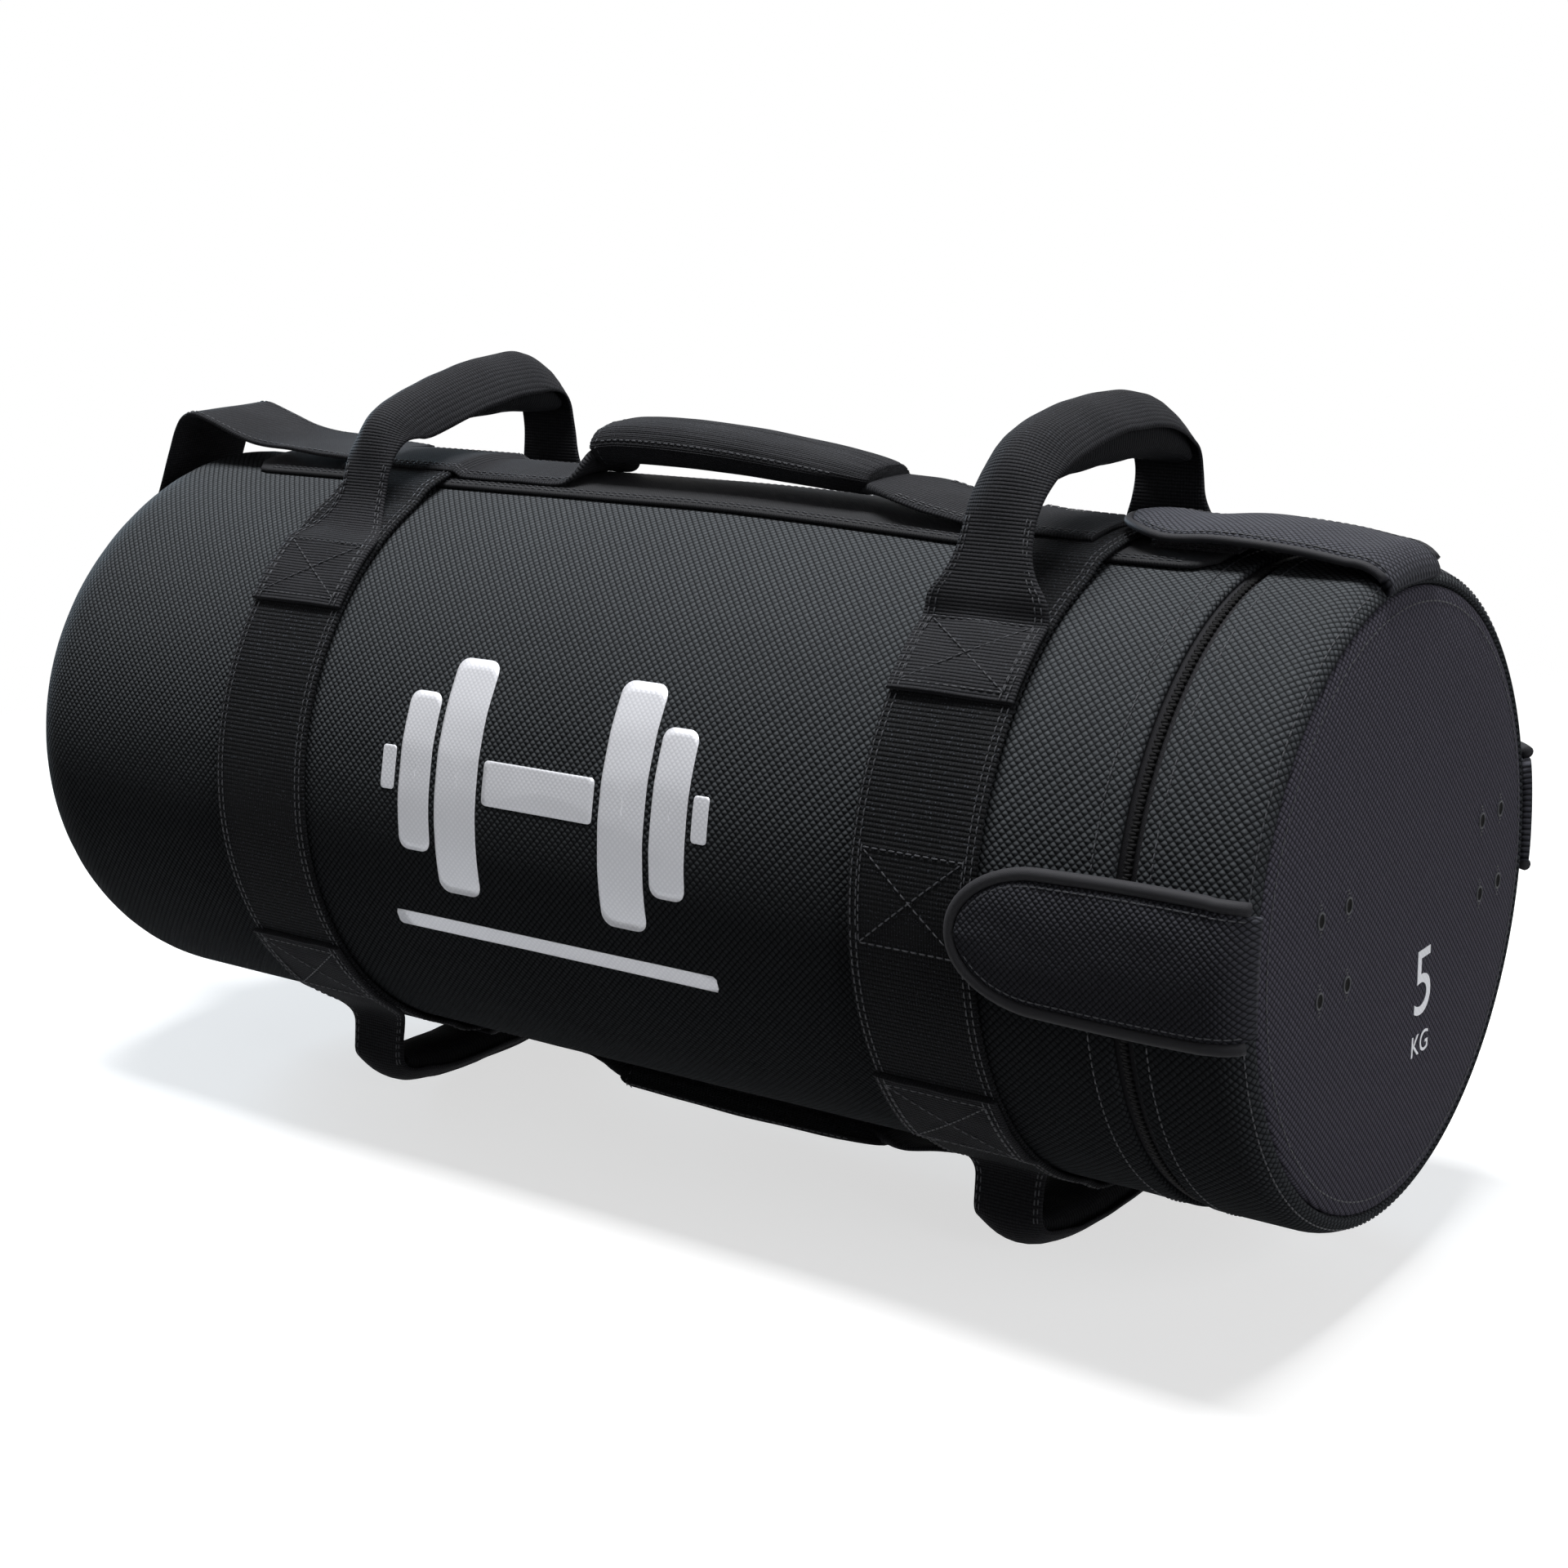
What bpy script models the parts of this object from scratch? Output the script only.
"""Sandbag trainer: a zipped round bag with straps, six carrying handles and an end strap.

Metres, +Z up.  X runs along the bag, with the zipped lid at +X.  -Y is the front.
Lengths along the bag are measured from the lid's outer seam, x = 0, towards -X, and radii from
the bag's centre line.  Angles go round that line from the front (0) over the top (90).
The last step moves everything so that the origin is on the floor, under the middle of the box.
"""
import math

import bpy
import bmesh
from mathutils import Vector

# Bag body
BODY_RADIUS = 0.115
BODY_LENGTH = 0.600
END_FILLET = 0.048
SKIN_WALL = 0.002
CLEARANCE = 0.0003
FAR_PANEL_THICKNESS = 0.003

# Lid and zip
LID_LIP_X = -0.0397
BODY_LIP_X = -0.0488
LID_ROLL_DEPTH = 0.0115
LID_ROLL_HEIGHT = 0.0074
LID_PANEL_THICKNESS = 0.002
LID_PANEL_CROWN = 0.004
LID_PANEL_EDGE_X = -0.002
CROWN_SHARES = (0.985, 0.93, 0.8, 0.5, 0.1)
LINING_THICKNESS = 0.006
LINING_MARGIN = 0.0046
VENT_INNER_Y = 0.0534
VENT_OUTER_Y = 0.0726
VENT_UPPER_Z = 0.012
VENT_LOWER_Z = -0.0147
VENT_RADIUS = 0.0019
TAPE_THICKNESS = 0.002
TAPE_UNDERLAP = 0.0070
SLIDER_LENGTH_ANGLE = 6.0
SLIDER_HEIGHT = 0.0022
SLIDER_WIDTH = 0.0066
SLIDER_ANGLE = 215.0
PULL_THICKNESS = 0.0012
PULL_WIDTH = 0.0058
PULL_LENGTH_ANGLE = 12.5

# Filling
FILLER_RADIUS = 0.049
FILLER_END_FOAM = 0.100
FILLER_NEAR_X = -0.110
FILLER_WALL = 0.002
SAND_NEAR_X = -0.125
FOAM_NEAR_GAP = 0.0010
PAD_NEAR_X = -0.0120

# Webbing
WEBBING = 0.002
WEBBING_WIDTH = 0.050
STRIP_HALF_ANGLE = 15.0
STRAP_HALF_ANGLE = 12.5
STRIP_NEAR_X = -0.060
RIGHT_BELT_X = -0.1215

# Padded handles over the top and under the bottom
RAMP_LENGTH = 0.015
RAMP_HEIGHT = 0.0052
NEAR_LEVEL_LENGTH = 0.0275
FAR_LEVEL_LENGTH = 0.0370
CORE_RUN = 0.016
SLEEVE_LENGTH = 0.135
SLEEVE_WIDTH = 0.034
SLEEVE_END_ROUND = 0.010
SLEEVE_END_SHARE = 0.72
TOP_SLEEVE_HEIGHT = 0.020
TOP_SLEEVE_RISE = 0.0087
BOTTOM_SLEEVE_HEIGHT = 0.011
BOTTOM_SLEEVE_RISE = 0.0057
CORE_WIDTH = 0.024

# Places beyond the left belt, as shares of the way from its far edge to the far end
STRAP_FAR_SHARE = 0.296
STRIP_FAR_SHARE = 0.655
END_PEAK_SHARE = 0.792

# Where the far straps step down off the belt, as shares of their length beyond it
STEP_START_SHARE = 0.06
STEP_END_SHARE = 0.24

# Handles that stand up from the belts and hang below them
LEG_THICKNESS = 0.004
GRIP_HALF_WIDTH = 0.016
GRIP_CORNER = 0.020
GRIP_FLAT_SHARE = 0.92
PATCH_THICKNESS = 0.002
CRADLE_ANGLE = 45.0
TOP_LEG_Y = 0.056
TOP_AXIS_RISE = 0.011
TOP_LEG_HALF_WIDTH = 0.012
TOP_GRIP_RISE = 0.037
TOP_GRIP_THICKNESS = 0.020
TOP_PATCH_ANGLE = 38.0
BOTTOM_LEG_Y = 0.063
BOTTOM_AXIS_DROP = 0.003
BOTTOM_LEG_HALF_WIDTH = 0.010
BOTTOM_GRIP_RISE = 0.020
BOTTOM_GRIP_THICKNESS = 0.015
BOTTOM_PATCH_ANGLE = 29.0

# Strap round the far end
END_AXIS_OUT = 0.007
END_TOP_DROP = 0.0426
END_LOW_Z = -0.0200
END_BOW = 0.021
END_BOW_POWER = 0.8
END_PATCH_LENGTH = 0.040
END_PEAK_RISE = 0.0295
END_CLIMB_SHARES = ((0.30, 0.12, 0.8), (0.55, 0.40, 0.5), (0.78, 0.76, 0.2))
END_FALL_SHARES = ((0.28, 0.10), (0.45, 0.32), (0.72, 0.68), (1, 1))

# Flaps
FLAP_HALF_ANGLE = 9.8
FLAP_TIP_X = -0.101
FLAP_ROUND_LENGTH = 0.030
FLAP_THICKNESS = 0.003
PIPING_RADIUS = 0.0022
LOOP_THICKNESS = 0.001
HOOK_THICKNESS = 0.0013
TAPE_PATCH_NEAR_X = -0.055
TAPE_PATCH_FAR_X = -0.088
TAPE_PATCH_HALF_ANGLE = 7.0
TAB_THICKNESS = 0.0022
TAB_LOW_LIFT = 0.0009
FRONT_FLAP_ANGLE = 3.0

# Directions round the bag, in degrees
FULL_TURN = 360.0
QUARTER_TURN = 90.0
TOP_ANGLE = 90.0
BOTTOM_ANGLE = 270.0
SHARP_ANGLE = 35.0

# How finely curves are cut
ROUND_SIDES = 48
FILLET_STEPS = 6
VENT_SIDES = 10
SLEEVE_ROUND_STEPS = 16
STRIP_STEPS = 6
STRAP_STEPS = 4
GRIP_COLUMNS = 8
CORNER_STEPS = 4
LEG_STEPS = 2
ROOT_STEPS = 4
END_GRIP_STEPS = 8
SLIDER_STEPS = 2
FLAP_ROWS = 3
FLAP_ROUND_STEPS = 6
FLAP_COLUMNS = 4
PIPING_SIDES = 8

# Radii that follow from the sizes above
SKIN_INNER = BODY_RADIUS - SKIN_WALL
SURFACE = BODY_RADIUS + CLEARANCE
STRIP_TOP = SURFACE + WEBBING
OVER_STRIP = STRIP_TOP + CLEARANCE
BELT_TOP = SURFACE + WEBBING
BELT_BUMP_TOP = OVER_STRIP + WEBBING
OVER_BELT = BELT_BUMP_TOP + CLEARANCE
FAR_FLAT_RADIUS = BODY_RADIUS - END_FILLET
TAPE_TOP = SKIN_INNER - CLEARANCE
TAPE_BOTTOM = TAPE_TOP - TAPE_THICKNESS
LID_SEAM_RADIUS = BODY_RADIUS - LID_ROLL_HEIGHT
LINING_RADIUS = LID_SEAM_RADIUS - LINING_MARGIN
TAB_LOW_RADIUS = LID_SEAM_RADIUS + TAB_LOW_LIFT
FLAP_STACK = LOOP_THICKNESS + HOOK_THICKNESS + 3 * CLEARANCE

# Heights that follow the bag's side
TOP_AXIS_Z = BODY_RADIUS + TOP_AXIS_RISE
TOP_GRIP_Z = BODY_RADIUS + TOP_GRIP_RISE
BOTTOM_AXIS_Z = BODY_RADIUS - BOTTOM_AXIS_DROP
BOTTOM_GRIP_Z = BODY_RADIUS + BOTTOM_GRIP_RISE
END_TOP_Z = BODY_RADIUS - END_TOP_DROP
END_PEAK_Z = BODY_RADIUS + END_PEAK_RISE

# Places along the bag, from the right belt to the far end
HALF_WEBBING = WEBBING_WIDTH / 2
TAPE_MEET_X = (LID_LIP_X + BODY_LIP_X) / 2
STRAP_END_X = FLAP_TIP_X - 2 * PIPING_RADIUS - 4 * CLEARANCE
NEAR_LEVEL_X = RIGHT_BELT_X - HALF_WEBBING - NEAR_LEVEL_LENGTH
RAMP_NEAR_X = NEAR_LEVEL_X - RAMP_LENGTH
SLEEVE_NEAR_X = RAMP_NEAR_X - CORE_RUN
SLEEVE_FAR_X = SLEEVE_NEAR_X - SLEEVE_LENGTH
RAMP_FAR_X = SLEEVE_FAR_X - CORE_RUN
FAR_LEVEL_X = RAMP_FAR_X - RAMP_LENGTH
LEFT_BELT_X = FAR_LEVEL_X - FAR_LEVEL_LENGTH - HALF_WEBBING
LEFT_BELT_EDGE_X = LEFT_BELT_X - HALF_WEBBING
END_RUN = BODY_LENGTH + LEFT_BELT_EDGE_X
STRAP_FAR_X = LEFT_BELT_EDGE_X - END_RUN * STRAP_FAR_SHARE
STRIP_FAR_X = LEFT_BELT_EDGE_X - END_RUN * STRIP_FAR_SHARE
END_PEAK_X = LEFT_BELT_EDGE_X - END_RUN * END_PEAK_SHARE
FILLER_FAR_X = -BODY_LENGTH + FILLER_END_FOAM
END_AXIS_X = -BODY_LENGTH - END_AXIS_OUT


def grip_half(thickness, share):
    """Half of a grip's thickness where its rounding has fallen to a share of the full height."""
    return (LEG_THICKNESS + (thickness - LEG_THICKNESS) * share) / 2


FLOOR = BOTTOM_GRIP_Z + grip_half(BOTTOM_GRIP_THICKNESS, GRIP_FLAT_SHARE)
NEAR_REACH = LID_PANEL_CROWN
FAR_REACH = END_AXIS_X - END_BOW - LEG_THICKNESS / 2
SHIFT = Vector((-(NEAR_REACH + FAR_REACH) / 2, 0, FLOOR))

MATERIALS = {
    "shell": ((0.035, 0.042, 0.046), 0.48, 0),
    "panel": ((0.032, 0.032, 0.042), 0.62, 0),
    "webbing": ((0.016, 0.017, 0.019), 0.85, 0),
    "padding": ((0.018, 0.019, 0.021), 0.8, 0),
    "trim": ((0.022, 0.022, 0.024), 0.6, 0),
    "hook_tape": ((0.012, 0.012, 0.013), 0.95, 0),
    "zip": ((0.05, 0.05, 0.055), 0.35, 1),
    "foam": ((0.55, 0.55, 0.52), 0.9, 0),
    "sand": ((0.55, 0.45, 0.30), 0.95, 0),
    "liner": ((0.10, 0.11, 0.12), 0.7, 0),
}


def clear_scene():
    for thing in list(bpy.data.objects):
        bpy.data.objects.remove(thing, do_unlink=True)


def material(kind):
    found = bpy.data.materials.get(kind)
    if found:
        return found
    colour, rough, metal = MATERIALS[kind]
    made = bpy.data.materials.new(kind)
    made.use_nodes = True
    shader = made.node_tree.nodes["Principled BSDF"]
    shader.inputs["Base Color"].default_value = (*colour, 1)
    shader.inputs["Roughness"].default_value = rough
    shader.inputs["Metallic"].default_value = metal
    return made


def polar(x, radius, angle):
    """A point beside the bag's centre line, by its angle from the front over the top."""
    turn = math.radians(angle)
    return Vector((x, -radius * math.cos(turn), radius * math.sin(turn)))


def spread(first, last, steps):
    return [first + (last - first) * step / steps for step in range(steps + 1)]


def make(name, mesh_faces, points, kind, pivot=(0, 0, 0)):
    """One object, with its origin at the pivot that it turns about."""
    centre = Vector(pivot)
    sheet = bmesh.new()
    corners = [sheet.verts.new(point - centre) for point in points]
    for face in mesh_faces:
        sheet.faces.new([corners[index] for index in face])
    bmesh.ops.recalc_face_normals(sheet, faces=sheet.faces)
    mesh = bpy.data.meshes.new(name)
    sheet.to_mesh(mesh)
    sheet.free()
    mesh.materials.append(material(kind))
    mesh.shade_smooth()
    mesh.set_sharp_from_angle(angle=math.radians(SHARP_ANGLE))
    made = bpy.data.objects.new(name, mesh)
    made.location = centre + SHIFT
    bpy.context.scene.collection.objects.link(made)
    return made


def loops_solid(name, loops, kind, pivot=(0, 0, 0), closed=False):
    """A solid skinned over a row of loops that have the same number of points."""
    count = len(loops[0])
    points = [point for loop in loops for point in loop]
    faces = []
    pairs = len(loops) if closed else len(loops) - 1
    for row in range(pairs):
        here = row * count
        there = ((row + 1) % len(loops)) * count
        for column in range(count):
            beside = (column + 1) % count
            faces.append((here + column, here + beside, there + beside, there + column))
    if not closed:
        faces.append(tuple(range(count)))
        faces.append(tuple(range(len(points) - count, len(points))))
    return make(name, faces, points, kind, pivot)


def slab(name, outer, inner, kind, pivot=(0, 0, 0)):
    """A sheet with thickness: two grids of points, closed round their border."""
    rows = len(outer)
    columns = len(outer[0])
    points = [point for grid in (outer, inner) for row in grid for point in row]
    below = rows * columns
    faces = []
    for row in range(rows - 1):
        for column in range(columns - 1):
            start = row * columns + column
            cell = (start, start + 1, start + columns + 1, start + columns)
            faces.append(cell)
            faces.append(tuple(below + index for index in reversed(cell)))
    border = [column for column in range(columns)]
    border += [row * columns + columns - 1 for row in range(1, rows)]
    border += [(rows - 1) * columns + column for column in range(columns - 2, -1, -1)]
    border += [row * columns for row in range(rows - 2, 0, -1)]
    for place, index in enumerate(border):
        after = border[(place + 1) % len(border)]
        faces.append((index, below + index, below + after, after))
    return make(name, faces, points, kind, pivot)


def round_angles():
    return [FULL_TURN * side / ROUND_SIDES for side in range(ROUND_SIDES)]


def turned(name, stations, kind, pivot=(0, 0, 0)):
    """A solid of round sections, given as pairs of length along the bag and radius."""
    angles = round_angles()
    loops = [[polar(x, radius, angle) for angle in angles] for x, radius in stations]
    return loops_solid(name, loops, kind, pivot)


def turned_ring(name, profile, kind, pivot=(0, 0, 0)):
    """A closed profile of lengths and radii, turned right round the bag."""
    angles = round_angles()
    loops = [[polar(x, radius, angle) for x, radius in profile] for angle in angles]
    return loops_solid(name, loops, kind, pivot, closed=True)


def wrapped(name, rows, angles, thickness, kind, pivot=(0, 0, 0)):
    """A sheet that lies round the bag, by its rows of length along the bag and inner radius."""
    inner = [[polar(x, radius, angle) for angle in angles] for x, radius in rows]
    outer = [[polar(x, radius + thickness, angle) for angle in angles] for x, radius in rows]
    return slab(name, outer, inner, kind, pivot)


def fillet_points(centre_x, centre_radius, reach_x, reach_radius):
    """A quarter round from the bag's side towards its end."""
    turns = [math.radians(angle) for angle in spread(0, QUARTER_TURN, FILLET_STEPS)]
    return [(centre_x + reach_x * math.sin(turn), centre_radius + reach_radius * math.cos(turn))
            for turn in turns]


# Body pieces
def body_skin():
    outer = [(BODY_LIP_X, BODY_RADIUS)]
    outer += fillet_points(-BODY_LENGTH + END_FILLET, FAR_FLAT_RADIUS, -END_FILLET, END_FILLET)
    depth = END_FILLET - SKIN_WALL
    inner = [(BODY_LIP_X, SKIN_INNER)]
    inner += fillet_points(-BODY_LENGTH + END_FILLET, FAR_FLAT_RADIUS, -depth, depth)
    turned_ring("body_skin", outer + inner[::-1], "shell")


def far_end_panel():
    radius = FAR_FLAT_RADIUS - CLEARANCE
    turned("far_end_panel",
           [(-BODY_LENGTH, radius), (-BODY_LENGTH + FAR_PANEL_THICKNESS, radius)], "shell")


def filling():
    foam_radius = SKIN_INNER - CLEARANCE
    foam_far = -BODY_LENGTH + FAR_PANEL_THICKNESS + CLEARANCE
    round_reach = END_FILLET - FAR_PANEL_THICKNESS - CLEARANCE
    round_depth = foam_radius - FAR_FLAT_RADIUS
    foam_near = BODY_LIP_X - TAPE_UNDERLAP - FOAM_NEAR_GAP
    outer = [(foam_near, FILLER_RADIUS), (foam_near, foam_radius)]
    outer += fillet_points(foam_far + round_reach, FAR_FLAT_RADIUS, -round_reach, round_depth)
    hollow_turned("foam_core", outer, FILLER_FAR_X, "foam")
    bag_outer = FILLER_RADIUS - CLEARANCE
    bag_inner = bag_outer - FILLER_WALL
    bag_far = FILLER_FAR_X + CLEARANCE
    hollow_turned("filler_bag", [(FILLER_NEAR_X, bag_inner), (FILLER_NEAR_X, bag_outer),
                                 (bag_far, bag_outer)], bag_far + FILLER_WALL, "liner")
    sand_radius = bag_inner - CLEARANCE
    sand_far = bag_far + FILLER_WALL + CLEARANCE
    turned("sand_fill", [(sand_far, sand_radius), (SAND_NEAR_X, sand_radius)], "sand")
    stem_far = FILLER_NEAR_X + CLEARANCE
    pad_far = foam_near + CLEARANCE
    pad_radius = TAPE_BOTTOM - CLEARANCE
    turned("mouth_foam_pad", [(stem_far, bag_outer), (pad_far, bag_outer), (pad_far, pad_radius),
                              (PAD_NEAR_X, pad_radius)], "foam")


def hollow_turned(name, outer, floor_x, kind):
    """A turned solid with a blind bore from its near end, whose floor is at the given place."""
    bore_radius = outer[0][1]
    stations = outer[::-1] + [(floor_x, bore_radius)]
    turned(name, stations, kind)


def belt(name, centre_x):
    """A webbing ring that climbs over the strips along the top and bottom."""
    near = centre_x + HALF_WEBBING
    far = centre_x - HALF_WEBBING
    loops = []
    for angle in round_angles():
        from_top = abs(angle - TOP_ANGLE)
        from_bottom = abs(angle - BOTTOM_ANGLE)
        on_strip = min(from_top, from_bottom) <= STRIP_HALF_ANGLE
        radius = OVER_STRIP if on_strip else SURFACE
        corners = [(near, radius), (near, radius + WEBBING), (far, radius + WEBBING), (far, radius)]
        loops.append([polar(x, reach, angle) for x, reach in corners])
    loops_solid(name, loops, "webbing", closed=True)


def strips():
    for name, centre in (("top_strip", TOP_ANGLE), ("bottom_strip", BOTTOM_ANGLE)):
        angles = spread(centre - STRIP_HALF_ANGLE, centre + STRIP_HALF_ANGLE, STRIP_STEPS)
        rows = [(STRIP_NEAR_X, SURFACE), (STRIP_FAR_X, SURFACE)]
        wrapped(name, rows, angles, WEBBING, "webbing")


# Padded handles along the top and bottom
def padded_handle(side_name, centre, rise, height):
    """Two fixed straps with ramps, and between them the strap core with its padded sleeve."""
    angles = spread(centre - STRAP_HALF_ANGLE, centre + STRAP_HALF_ANGLE, STRAP_STEPS)
    ramp_radius = STRIP_TOP + RAMP_HEIGHT
    beyond = STRAP_FAR_X - LEFT_BELT_EDGE_X
    far_rows = [(RAMP_FAR_X, ramp_radius), (FAR_LEVEL_X, OVER_BELT),
                (LEFT_BELT_EDGE_X + beyond * STEP_START_SHARE, OVER_BELT),
                (LEFT_BELT_EDGE_X + beyond * STEP_END_SHARE, OVER_STRIP),
                (STRAP_FAR_X, OVER_STRIP)]
    wrapped(side_name + "_strap_far", far_rows, angles, WEBBING, "webbing")
    near_rows = [(RAMP_NEAR_X, ramp_radius), (NEAR_LEVEL_X, OVER_BELT), (STRAP_END_X, OVER_BELT)]
    wrapped(side_name + "_strap_near", near_rows, angles, WEBBING, "webbing")

    middle_x = (RAMP_FAR_X + RAMP_NEAR_X) / 2
    sleeve_middle = STRIP_TOP + rise + height / 2
    core_inner = sleeve_middle - WEBBING / 2
    axis = polar(middle_x, ramp_radius + WEBBING / 2, centre)
    up = 1 if centre == TOP_ANGLE else -1
    outer, inner = [], []
    stations = [(RAMP_FAR_X + CLEARANCE, ramp_radius, HALF_WEBBING, True),
                (SLEEVE_FAR_X - CLEARANCE, core_inner, CORE_WIDTH / 2, False),
                (SLEEVE_NEAR_X + CLEARANCE, core_inner, CORE_WIDTH / 2, False),
                (RAMP_NEAR_X - CLEARANCE, ramp_radius, HALF_WEBBING, True)]
    for x, radius, half_width, on_arc in stations:
        lower, upper = [], []
        for share in spread(-1, 1, STRAP_STEPS):
            if on_arc:
                angle = centre + share * STRAP_HALF_ANGLE * up
                lower.append(polar(x, radius, angle))
                upper.append(polar(x, radius + WEBBING, angle))
            else:
                lower.append(Vector((x, share * half_width, up * radius)))
                upper.append(Vector((x, share * half_width, up * (radius + WEBBING))))
        outer.append(upper)
        inner.append(lower)
    slab(side_name + "_handle_core", outer, inner, "webbing", axis)
    sleeve(side_name + "_handle_sleeve", up * sleeve_middle, height, axis)


def rounded_box(x, middle_z, half_width, half_height, corner):
    """A rounded rectangle across the bag."""
    loop = []
    for step in range(SLEEVE_ROUND_STEPS):
        turn = 2 * math.pi * (step + 0.5) / SLEEVE_ROUND_STEPS
        across = math.copysign(half_width - corner, math.cos(turn)) + corner * math.cos(turn)
        height = math.copysign(half_height - corner, math.sin(turn)) + corner * math.sin(turn)
        loop.append(Vector((x, across, middle_z + height)))
    return loop


def sleeve(name, middle_z, height, axis):
    """The padded sleeve, with a slot through it for the strap."""
    slot_half_width = CORE_WIDTH / 2 + CLEARANCE
    slot_half_height = WEBBING / 2 + CLEARANCE
    places = [(SLEEVE_FAR_X, SLEEVE_END_SHARE), (SLEEVE_FAR_X + SLEEVE_END_ROUND, 1),
              (SLEEVE_NEAR_X - SLEEVE_END_ROUND, 1), (SLEEVE_NEAR_X, SLEEVE_END_SHARE)]
    loops = []
    for x, share in places:
        half_height = height / 2 * share
        half_width = SLEEVE_WIDTH / 2 * (share + 1) / 2
        loops.append(rounded_box(x, middle_z, half_width, half_height, half_height * share))
    for x, _ in reversed(places):
        loops.append(rounded_box(x, middle_z, slot_half_width, slot_half_height, CLEARANCE))
    loops_solid(name, loops, "padding", axis, closed=True)


# Handles on the belts
def handle(name, belt_x, up, leg_y, axis_z, leg_half_width, grip_z, grip_thickness, patch_angle):
    """A loop of folded webbing that swings along the bag, on two roots sewn to its belt."""
    axis = Vector((belt_x, 0, up * axis_z))
    shares = [math.sin(math.radians(angle))
              for angle in spread(-QUARTER_TURN, QUARTER_TURN, GRIP_COLUMNS)]
    stations = handle_path(leg_y, axis_z, grip_z)
    outer, inner = [], []
    last = len(stations) - 1
    for row, (along, height, away_y, away_z, fullness) in enumerate(stations):
        half_width = leg_half_width + (GRIP_HALF_WIDTH - leg_half_width) * fullness
        thickness = LEG_THICKNESS + (grip_thickness - LEG_THICKNESS) * fullness
        upper, lower = [], []
        for share in shares:
            round_share = min(math.sqrt(max(0, 1 - share * share)), GRIP_FLAT_SHARE)
            half = (LEG_THICKNESS + (thickness - LEG_THICKNESS) * round_share) / 2
            dip = 0
            if row in (0, last):
                dip = half_width * math.sqrt(max(0, 1 - share * share))
            x = belt_x + share * half_width
            upper.append(Vector((x, along + away_y * half, up * (height + away_z * half - dip))))
            lower.append(Vector((x, along - away_y * half, up * (height - away_z * half - dip))))
        outer.append(upper)
        inner.append(lower)
    slab(name + "_handle", outer, inner, "padding", axis)
    for place, side in (("front", -1), ("back", 1)):
        handle_root(name + "_" + place + "_root", belt_x, up, side, leg_y, axis_z,
                    leg_half_width, patch_angle)


def handle_path(leg_y, axis_z, grip_z):
    """Places along the loop: across, height, the outward direction and how full the grip is."""
    corner_z = grip_z - GRIP_CORNER
    half = []
    for step in range(LEG_STEPS):
        share = step / LEG_STEPS
        half.append((-leg_y, axis_z + (corner_z - axis_z) * share, -1, 0, 0))
    for step in range(CORNER_STEPS + 1):
        share = step / CORNER_STEPS
        turn = math.radians(QUARTER_TURN * share)
        half.append((-leg_y + GRIP_CORNER * (1 - math.cos(turn)),
                     corner_z + GRIP_CORNER * math.sin(turn),
                     -math.cos(turn), math.sin(turn), share))
    half.append((0, grip_z, 0, 1, 1))
    other = [(-along, height, -away_y, away_z, full)
             for along, height, away_y, away_z, full in reversed(half[:-1])]
    return half + other


def handle_root(name, belt_x, up, side, leg_y, axis_z, leg_half_width, patch_angle):
    """Webbing sewn on the belt, which rises to a cradle round the loop's end."""
    base = BELT_TOP + CLEARANCE
    middle = base + PATCH_THICKNESS / 2
    leave_angle = math.degrees(math.acos(leg_y / middle))
    half = PATCH_THICKNESS / 2
    rows = []
    for angle in spread(patch_angle, leave_angle, ROOT_STEPS):
        turn = math.radians(angle)
        rows.append((middle * math.cos(turn), middle * math.sin(turn),
                     math.cos(turn), math.sin(turn), HALF_WEBBING, False))
    reach = leg_half_width + CLEARANCE
    cradle_half = reach * math.sin(math.radians(CRADLE_ANGLE))
    rows.append((leg_y, axis_z, 1, 0, cradle_half, True))
    outer, inner = [], []
    for along, height, away_y, away_z, half_width, in_cradle in rows:
        upper, lower = [], []
        for share in spread(-1, 1, GRIP_COLUMNS):
            x = share * half_width
            dip = math.sqrt(reach * reach - x * x) if in_cradle else 0
            upper.append(Vector((belt_x + x, side * (along + away_y * half),
                                 up * (height + away_z * half - dip))))
            lower.append(Vector((belt_x + x, side * (along - away_y * half),
                                 up * (height - away_z * half - dip))))
        outer.append(upper)
        inner.append(lower)
    slab(name, outer, inner, "webbing")


# Strap round the far end
def bent_strap(name, path, thickness, kind, pivot=(0, 0, 0)):
    """A strap of webbing along a path of lengths, heights and how far its middle is arched."""
    outer, inner = [], []
    for row, (x, z, arch) in enumerate(path):
        before = path[max(row - 1, 0)]
        after = path[min(row + 1, len(path) - 1)]
        run = Vector((after[0] - before[0], 0, after[1] - before[1])).normalized()
        if row in (0, len(path) - 1):
            run = Vector((-1, 0, 0)) if arch else Vector((0, 0, -1))
        away = Vector((run.z, 0, -run.x))
        upper, lower = [], []
        for share in spread(-1, 1, STRAP_STEPS):
            turn = math.radians(share * STRAP_HALF_ANGLE)
            radius = z if arch else 0
            drop = radius * (1 - math.cos(turn)) * arch
            across = share * HALF_WEBBING
            if arch:
                across = radius * math.sin(turn)
            middle = Vector((x, across, z - drop))
            upper.append(middle + away * thickness / 2)
            lower.append(middle - away * thickness / 2)
        outer.append(upper)
        inner.append(lower)
    slab(name, outer, inner, kind, pivot)


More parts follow.
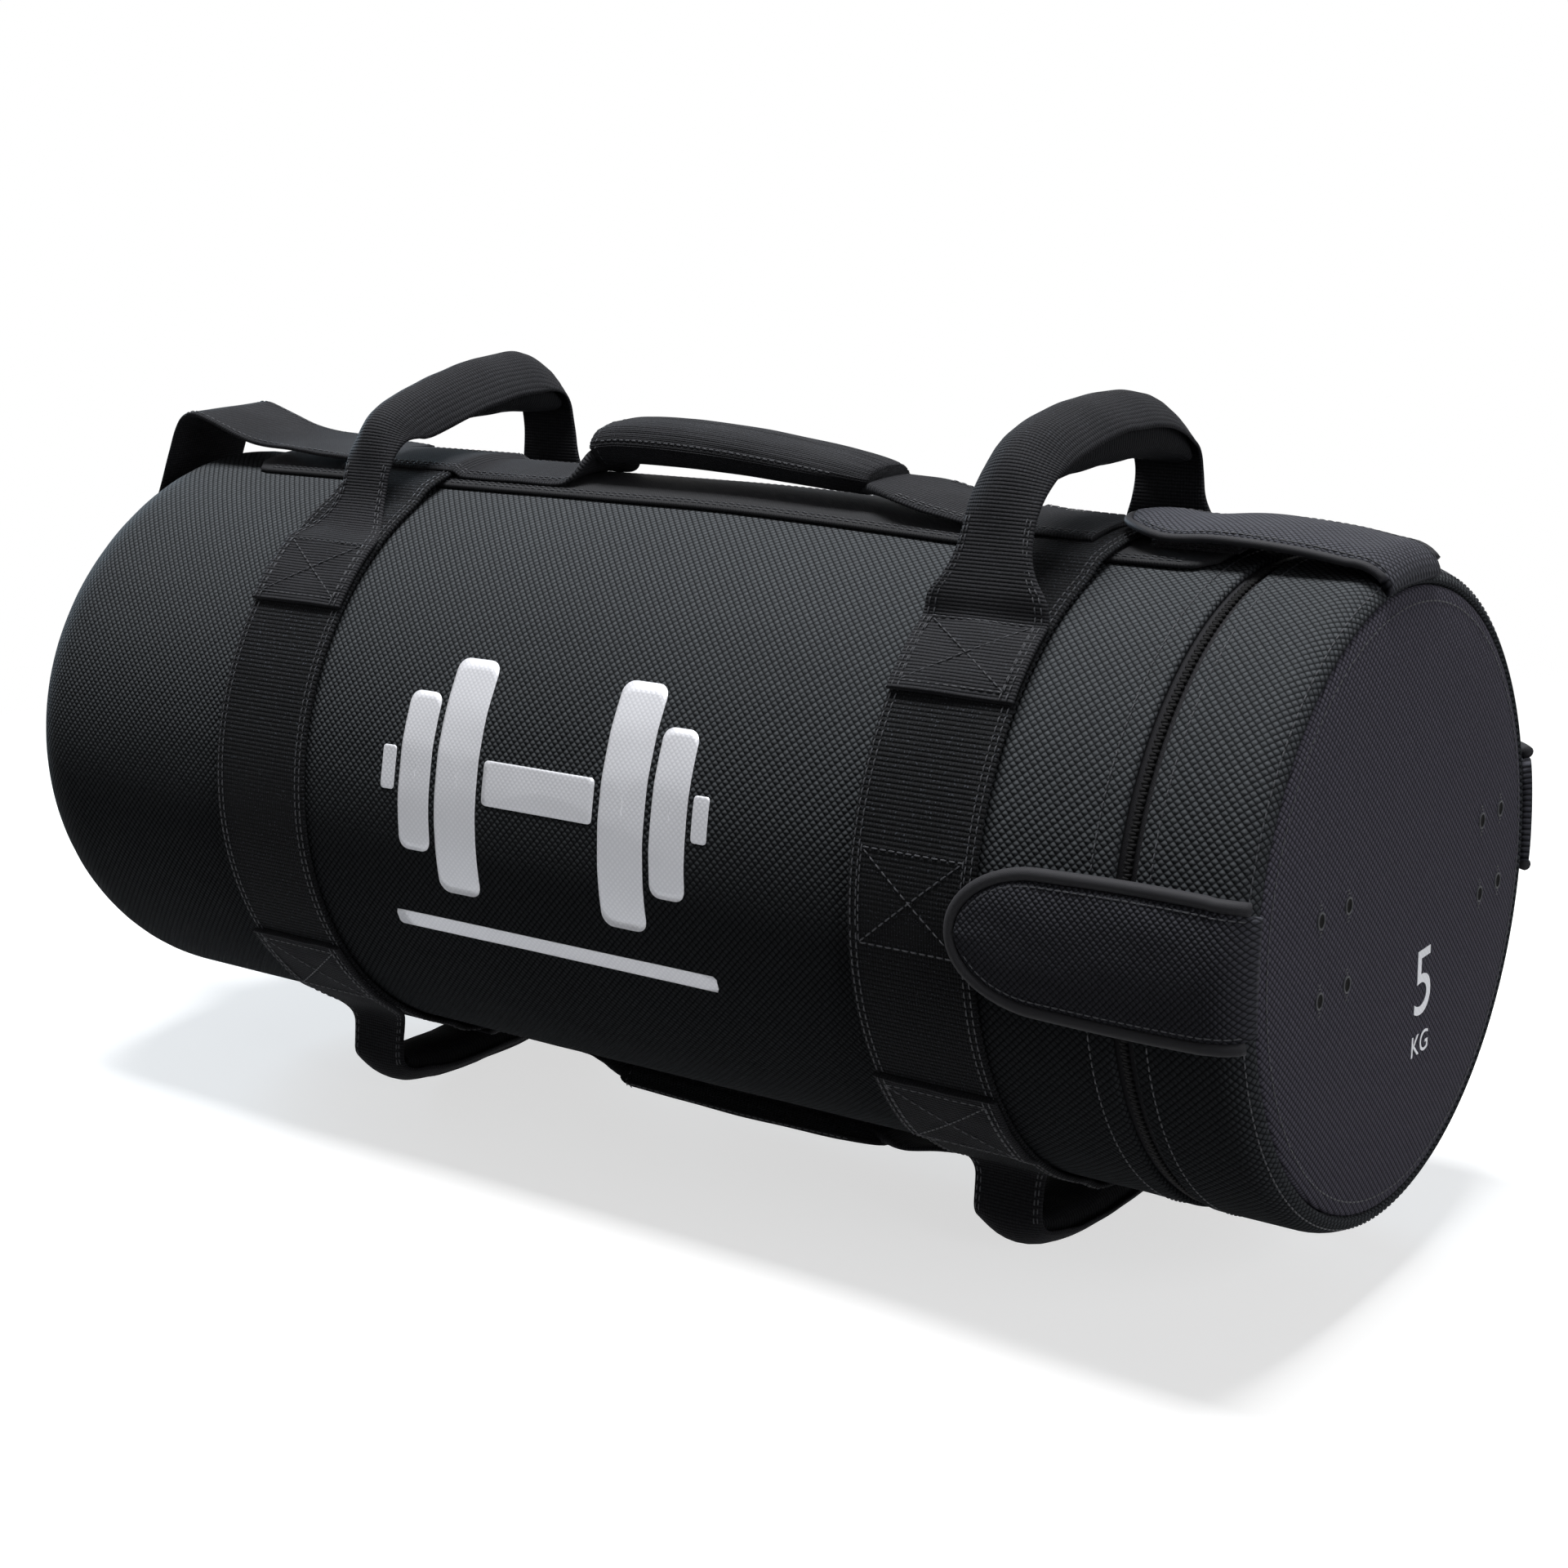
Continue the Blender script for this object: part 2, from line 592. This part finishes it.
def end_strap():
    start = OVER_STRIP + WEBBING / 2
    rise = END_PEAK_Z - start
    drop = END_PEAK_Z - END_TOP_Z
    out = END_PEAK_X - END_AXIS_X
    path = [(STRAP_FAR_X - CLEARANCE, start, 1)]
    for along_share, rise_share, arch in END_CLIMB_SHARES:
        path.append((STRAP_FAR_X + (END_PEAK_X - STRAP_FAR_X) * along_share,
                     start + rise * rise_share, arch))
    path.append((END_PEAK_X, END_PEAK_Z, 0))
    for out_share, drop_share in END_FALL_SHARES:
        path.append((END_PEAK_X - out * out_share, END_PEAK_Z - drop * drop_share, 0))
    bent_strap("end_strap_top", path, WEBBING, "webbing")

    grip_top = END_TOP_Z - CLEARANCE
    grip_low = END_LOW_Z + CLEARANCE
    grip = []
    for share in spread(0, 1, END_GRIP_STEPS):
        bow = END_BOW * math.sin(math.pi * share) ** END_BOW_POWER
        grip.append((END_AXIS_X - bow, grip_top + (grip_low - grip_top) * share, 0))
    axis = Vector((END_AXIS_X, 0, (grip_top + grip_low) / 2))
    bent_strap("end_handle_grip", grip, LEG_THICKNESS, "webbing", axis)

    flat_x = -BODY_LENGTH - CLEARANCE - WEBBING / 2
    land_z = END_LOW_Z - END_AXIS_OUT
    low_z = END_LOW_Z - END_PATCH_LENGTH
    bent_strap("end_strap_root", [(END_AXIS_X, END_LOW_Z, 0), (flat_x, land_z, 0),
                                  (flat_x, low_z, 0)], WEBBING, "webbing")


# Lid, zip and flaps
def lid():
    band_outer = [(LID_LIP_X, BODY_RADIUS)]
    band_outer += fillet_points(-LID_ROLL_DEPTH, LID_SEAM_RADIUS, LID_ROLL_DEPTH,
                                BODY_RADIUS - LID_SEAM_RADIUS)
    band_inner = [(LID_LIP_X, SKIN_INNER)]
    band_inner += fillet_points(-LID_ROLL_DEPTH, LID_SEAM_RADIUS, LID_ROLL_DEPTH - SKIN_WALL,
                                SKIN_INNER - LID_SEAM_RADIUS)
    turned_ring("lid_band", band_outer + band_inner[::-1], "shell")

    panel_radius = LID_SEAM_RADIUS - CLEARANCE
    back = LID_PANEL_EDGE_X - LID_PANEL_THICKNESS
    stations = [(back, panel_radius), (LID_PANEL_EDGE_X, panel_radius)]
    for share in CROWN_SHARES:
        crown = LID_PANEL_EDGE_X + (LID_PANEL_CROWN - LID_PANEL_EDGE_X) * math.sqrt(1 - share ** 2)
        stations.append((crown, panel_radius * share))
    panel = turned("lid_panel", stations, "panel")
    vents(panel)
    lining_near = back - CLEARANCE
    turned("lid_lining", [(lining_near - LINING_THICKNESS, LINING_RADIUS),
                          (lining_near, LINING_RADIUS)], "foam")


def vents(panel):
    """Eight breathing holes through the lid panel."""
    cutter_mesh = bmesh.new()
    depth = LID_PANEL_CROWN + LINING_THICKNESS
    for side in (-1, 1):
        for y in (VENT_INNER_Y, VENT_OUTER_Y):
            for z in (VENT_UPPER_Z, VENT_LOWER_Z):
                ends = []
                for x in (-depth, depth):
                    ends.append([cutter_mesh.verts.new(
                        (x, side * y + VENT_RADIUS * math.cos(2 * math.pi * step / VENT_SIDES),
                         z + VENT_RADIUS * math.sin(2 * math.pi * step / VENT_SIDES)))
                        for step in range(VENT_SIDES)])
                cutter_mesh.faces.new(ends[0])
                cutter_mesh.faces.new(ends[1])
                for step in range(VENT_SIDES):
                    after = (step + 1) % VENT_SIDES
                    cutter_mesh.faces.new((ends[0][step], ends[0][after],
                                           ends[1][after], ends[1][step]))
    bmesh.ops.recalc_face_normals(cutter_mesh, faces=cutter_mesh.faces)
    mesh = bpy.data.meshes.new("vent_cutter")
    cutter_mesh.to_mesh(mesh)
    cutter_mesh.free()
    cutter = bpy.data.objects.new("vent_cutter", mesh)
    cutter.location = SHIFT
    cutter.hide_render = True
    cutter.display_type = "WIRE"
    bpy.context.scene.collection.objects.link(cutter)
    cut = panel.modifiers.new("vents", "BOOLEAN")
    cut.operation = "DIFFERENCE"
    cut.object = cutter


def zip_parts():
    half_gap = CLEARANCE / 2
    for name, lip_x, way in (("zip_tape_body", BODY_LIP_X, -1), ("zip_tape_lid", LID_LIP_X, 1)):
        meet = TAPE_MEET_X + way * half_gap
        under = lip_x + way * TAPE_UNDERLAP
        turned_ring(name, [(meet, TAPE_TOP), (under, TAPE_TOP), (under, TAPE_BOTTOM),
                           (meet, TAPE_BOTTOM)], "trim")
    slider_base = TAPE_TOP + CLEARANCE
    slider_top = slider_base + SLIDER_HEIGHT
    half_width = SLIDER_WIDTH / 2
    half_turn = SLIDER_LENGTH_ANGLE / 2
    rows = [(TAPE_MEET_X - half_width, slider_base), (TAPE_MEET_X + half_width, slider_base)]
    angles = spread(SLIDER_ANGLE - half_turn, SLIDER_ANGLE + half_turn, SLIDER_STEPS)
    centre_line = Vector((TAPE_MEET_X, 0, 0))
    wrapped("zip_slider", rows, angles, SLIDER_HEIGHT, "zip", centre_line)
    pull_base = slider_top + CLEARANCE
    rows = [(TAPE_MEET_X - PULL_WIDTH / 2, pull_base), (TAPE_MEET_X + PULL_WIDTH / 2, pull_base)]
    angles = spread(SLIDER_ANGLE - PULL_LENGTH_ANGLE, SLIDER_ANGLE, STRAP_STEPS)
    axis = polar(TAPE_MEET_X, pull_base + PULL_THICKNESS / 2, SLIDER_ANGLE)
    wrapped("zip_pull", rows, angles, PULL_THICKNESS, "zip", axis)


def flap(name, centre, base):
    """A rounded flap sewn to the lid's rim, its piping, and the tapes that hold it down."""
    inner_radius = base + FLAP_STACK
    middle = inner_radius + FLAP_THICKNESS / 2
    axis = polar(0, middle, centre)
    straight_end = FLAP_TIP_X + FLAP_ROUND_LENGTH
    outline = [(x, 1) for x in spread(0, straight_end, FLAP_ROWS)]
    for step in range(1, FLAP_ROUND_STEPS):
        turn = math.radians(QUARTER_TURN * step / FLAP_ROUND_STEPS)
        outline.append((straight_end - FLAP_ROUND_LENGTH * math.sin(turn), math.cos(turn)))
    inner, outer = [], []
    for x, width_share in outline:
        angles = spread(centre - FLAP_HALF_ANGLE * width_share,
                        centre + FLAP_HALF_ANGLE * width_share, FLAP_COLUMNS)
        inner.append([polar(x, inner_radius, angle) for angle in angles])
        outer.append([polar(x, inner_radius + FLAP_THICKNESS, angle) for angle in angles])
    slab(name + "_flap", outer, inner, "shell", axis)
    piping(name, centre, middle, axis, straight_end)

    tape_angles = spread(centre - TAPE_PATCH_HALF_ANGLE, centre + TAPE_PATCH_HALF_ANGLE,
                         STRAP_STEPS)
    loop_base = base + CLEARANCE
    hook_base = loop_base + LOOP_THICKNESS + CLEARANCE
    for part, radius, thickness in (("loop", loop_base, LOOP_THICKNESS),
                                    ("hook", hook_base, HOOK_THICKNESS)):
        rows = [(TAPE_PATCH_NEAR_X, radius), (TAPE_PATCH_FAR_X, radius)]
        pivot = axis if part == "hook" else (0, 0, 0)
        wrapped(name + "_" + part + "_tape", rows, tape_angles, thickness, "hook_tape", pivot)

    tab_angles = spread(centre - FLAP_HALF_ANGLE, centre + FLAP_HALF_ANGLE, STRAP_STEPS)
    low = TAB_LOW_RADIUS
    high = inner_radius - CLEARANCE
    near = [polar(CLEARANCE + TAB_THICKNESS, radius, angle)
            for radius in (low, high) for angle in tab_angles]
    far = [polar(CLEARANCE, radius, angle) for radius in (low, high) for angle in tab_angles]
    count = len(tab_angles)
    slab(name + "_flap_root", [near[:count], near[count:]], [far[:count], far[count:]], "shell")


def piping(name, centre, middle, axis, straight_end):
    """The covered cord that runs round the flap's free edge."""
    offset = PIPING_RADIUS + CLEARANCE
    half_width = math.radians(FLAP_HALF_ANGLE) * middle + offset
    length = FLAP_ROUND_LENGTH + offset
    half = [(x, half_width) for x in spread(0, straight_end, FLAP_ROWS)]
    for step in range(1, FLAP_ROUND_STEPS + 1):
        turn = math.radians(QUARTER_TURN * step / FLAP_ROUND_STEPS)
        half.append((straight_end - length * math.sin(turn), half_width * math.cos(turn)))
    route = half + [(x, -across) for x, across in reversed(half[:-1])]
    loops = []
    for place, (x, across) in enumerate(route):
        before = route[max(place - 1, 0)]
        after = route[min(place + 1, len(route) - 1)]
        run = Vector((after[0] - before[0], after[1] - before[1])).normalized()
        loop = []
        for side in range(PIPING_SIDES):
            turn = 2 * math.pi * side / PIPING_SIDES
            sideways = PIPING_RADIUS * math.cos(turn)
            rise = PIPING_RADIUS * math.sin(turn)
            angle = centre + math.degrees((across + run.x * sideways) / middle)
            loop.append(polar(x - run.y * sideways, middle + rise, angle))
        loops.append(loop)
    loops_solid(name + "_flap_piping", loops, "trim", axis)


def build():
    clear_scene()
    body_skin()
    far_end_panel()
    filling()
    belt("left_belt", LEFT_BELT_X)
    belt("right_belt", RIGHT_BELT_X)
    strips()
    padded_handle("top", TOP_ANGLE, TOP_SLEEVE_RISE, TOP_SLEEVE_HEIGHT)
    padded_handle("bottom", BOTTOM_ANGLE, BOTTOM_SLEEVE_RISE, BOTTOM_SLEEVE_HEIGHT)
    for side, belt_x in (("left", LEFT_BELT_X), ("right", RIGHT_BELT_X)):
        handle(side + "_top", belt_x, 1, TOP_LEG_Y, TOP_AXIS_Z, TOP_LEG_HALF_WIDTH, TOP_GRIP_Z,
               TOP_GRIP_THICKNESS, TOP_PATCH_ANGLE)
        handle(side + "_bottom", belt_x, -1, BOTTOM_LEG_Y, BOTTOM_AXIS_Z, BOTTOM_LEG_HALF_WIDTH,
               BOTTOM_GRIP_Z, BOTTOM_GRIP_THICKNESS, BOTTOM_PATCH_ANGLE)
    end_strap()
    lid()
    zip_parts()
    flap("front", FRONT_FLAP_ANGLE, BODY_RADIUS)
    flap("back", 2 * TOP_ANGLE - FRONT_FLAP_ANGLE, BODY_RADIUS)
    flap("top", TOP_ANGLE, STRIP_TOP)


build()
